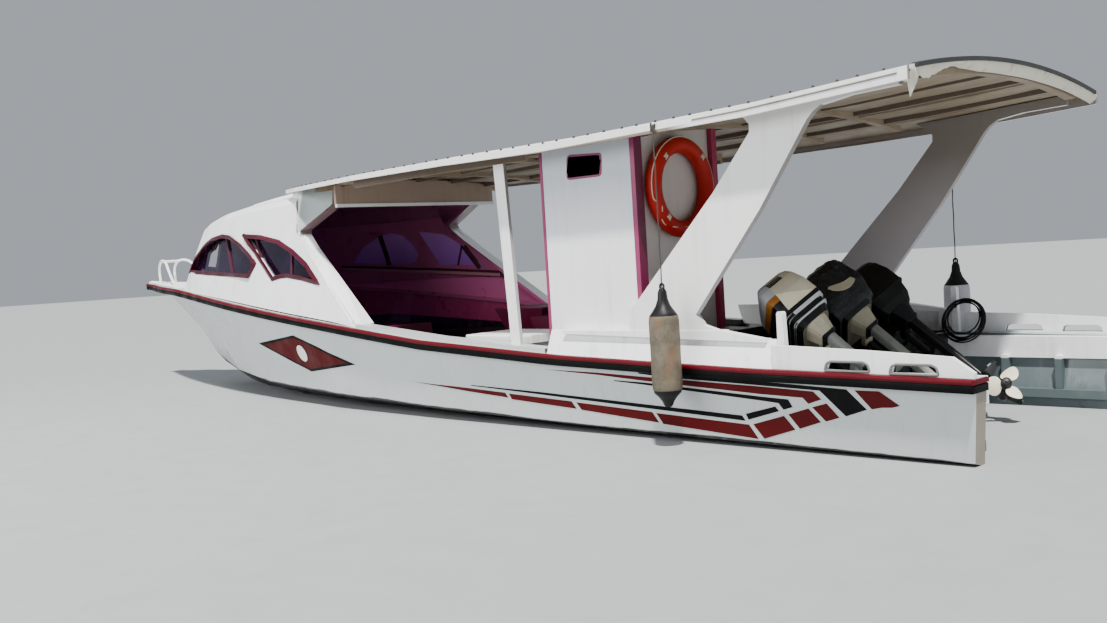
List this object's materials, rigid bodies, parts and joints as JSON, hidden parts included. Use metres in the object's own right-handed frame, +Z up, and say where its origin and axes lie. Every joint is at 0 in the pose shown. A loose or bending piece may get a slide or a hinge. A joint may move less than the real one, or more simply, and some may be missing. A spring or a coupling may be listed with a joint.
{
  "type": "passenger speedboat",
  "caption": "Open wooden passenger speedboat with a domed bow cabin, long canopy roof on raked legs, a side cubicle and tilted outboard engines between stern arms.",
  "frame": {"origin": "amidships on the waterline and the centreline", "axes": "+X towards the bow, +Y to port, +Z up"},
  "size_m": [11.94, 3.0806, 2.612],
  "materials": {
    "white_paint": "glossy white marine paint on laminated board",
    "white_roof": "weathered white paint",
    "rail_paint": "crimson over black marine paint",
    "maroon_paint": "satin maroon paint on board",
    "pink_paint": "satin pink paint on board",
    "beige_paint": "matt beige paint on timber",
    "grey_green_paint": "matt grey-green paint",
    "purple_glass": "purple tinted sheet",
    "lifebuoy_orange": "weathered orange-red plastic",
    "fender_vinyl": "dirty off-white vinyl with black ends",
    "black_cable": "black cable sheath",
    "engine_black": "satin black engine paint",
    "cowl_cream": "aged cream plastic",
    "cowl_black": "black plastic",
    "bracket_metal": "cast and machined metal",
    "propeller_cream": "cream paint on cast metal",
    "stainless_rail": "white paint on steel tube"
  },
  "bodies": {
    "boat": {"hull": "white_paint", "bulwark_port": "white_paint", "bulwark_starboard": "white_paint", "coaming_port": "white_paint", "coaming_starboard": "white_paint", "well_bulkhead": "white_paint", "foredeck": "white_paint", "forward_cabin": "white_paint", "arch_leg_port": "white_paint", "arch_leg_starboard": "white_paint", "side_post_port": "white_paint", "side_post_starboard": "white_paint", "cubicle": "white_paint", "white_bench": "white_paint", "roof_skin": "white_roof", "roof_edge_port": "white_roof", "roof_edge_starboard": "white_roof", "rub_rail_port": "rail_paint", "rub_rail_starboard": "rail_paint", "arm_lining_port": "grey_green_paint", "arm_lining_starboard": "grey_green_paint", "cockpit_sole": "maroon_paint", "cubicle_post_inboard": "maroon_paint", "side_bench_port": "maroon_paint", "side_bench_starboard": "maroon_paint", "helm_seat": "maroon_paint", "cubicle_post_aft": "pink_paint", "cubicle_post_front": "pink_paint", "roof_frame": "beige_paint", "front_pane_port": "purple_glass", "front_pane_starboard": "purple_glass", "rear_pane_port": "purple_glass", "rear_pane_starboard": "purple_glass", "cubicle_pane": "purple_glass", "lifebuoy": "lifebuoy_orange", "fender_port": "fender_vinyl", "fender_starboard": "fender_vinyl", "cable_hank": "black_cable", "bow_pulpit": "stainless_rail", "clamp_bracket_port": "bracket_metal", "clamp_bracket_centre": "bracket_metal", "clamp_bracket_starboard": "bracket_metal"},
    "door": {"cubicle_door": "maroon_paint"},
    "swivel_port": {"swivel_bracket_port": "bracket_metal"},
    "engine_port": {"engine_leg_port": "engine_black", "cowl_port": "cowl_cream"},
    "prop_port": {"propeller_port": "propeller_cream"},
    "swivel_centre": {"swivel_bracket_centre": "bracket_metal"},
    "engine_centre": {"engine_leg_centre": "engine_black", "cowl_centre": "cowl_black"},
    "prop_centre": {"propeller_centre": "propeller_cream"},
    "swivel_starboard": {"swivel_bracket_starboard": "bracket_metal"},
    "engine_starboard": {"engine_leg_starboard": "engine_black", "cowl_starboard": "cowl_black"},
    "prop_starboard": {"propeller_starboard": "propeller_cream"}
  },
  "joints": [
    {"name": "tilt_port", "type": "hinge", "parent": "boat", "child": "swivel_port", "pos_m": [-4.6, 0.56, 0.41], "axis": [0, 1, 0], "range_deg": [-52, 0]},
    {"name": "steer_port", "type": "hinge", "parent": "swivel_port", "child": "engine_port", "pos_m": [-4.6924, 0.56, 0.5282], "axis": [0.788, 0, 0.6157], "range_deg": [0, 90]},
    {"name": "propeller_port_spin", "type": "hinge", "parent": "engine_port", "child": "prop_port", "pos_m": [-5.50647, 0.8584, 0.27082], "axis": [-0.4353, 0.7071, 0.5572], "continuous": true},
    {"name": "tilt_centre", "type": "hinge", "parent": "boat", "child": "swivel_centre", "pos_m": [-4.6, 0, 0.41], "axis": [0, 1, 0], "range_deg": [-52, 0]},
    {"name": "steer_centre", "type": "hinge", "parent": "swivel_centre", "child": "engine_centre", "pos_m": [-4.6924, 0, 0.5282], "axis": [0.788, 0, 0.6157], "range_deg": [0, 90]},
    {"name": "propeller_centre_spin", "type": "hinge", "parent": "engine_centre", "child": "prop_centre", "pos_m": [-5.50647, 0.2984, 0.27082], "axis": [-0.4353, 0.7071, 0.5572], "continuous": true},
    {"name": "tilt_starboard", "type": "hinge", "parent": "boat", "child": "swivel_starboard", "pos_m": [-4.6, -0.56, 0.41], "axis": [0, 1, 0], "range_deg": [-52, 0]},
    {"name": "steer_starboard", "type": "hinge", "parent": "swivel_starboard", "child": "engine_starboard", "pos_m": [-4.6924, -0.56, 0.5282], "axis": [0.788, 0, 0.6157], "range_deg": [0, 90]},
    {"name": "propeller_starboard_spin", "type": "hinge", "parent": "engine_starboard", "child": "prop_starboard", "pos_m": [-5.50647, -0.2616, 0.27082], "axis": [-0.4353, 0.7071, 0.5572], "continuous": true},
    {"name": "cubicle_door_hinge", "type": "hinge", "parent": "boat", "child": "door", "pos_m": [-2.84, 0.2405, 1.1], "axis": [0, 0, 1], "range_deg": [0, 95]}
  ],
  "couplings": [
    {"joint": "steer_centre", "follows": "steer_port", "ratio": 1},
    {"joint": "steer_starboard", "follows": "steer_port", "ratio": 1}
  ]
}
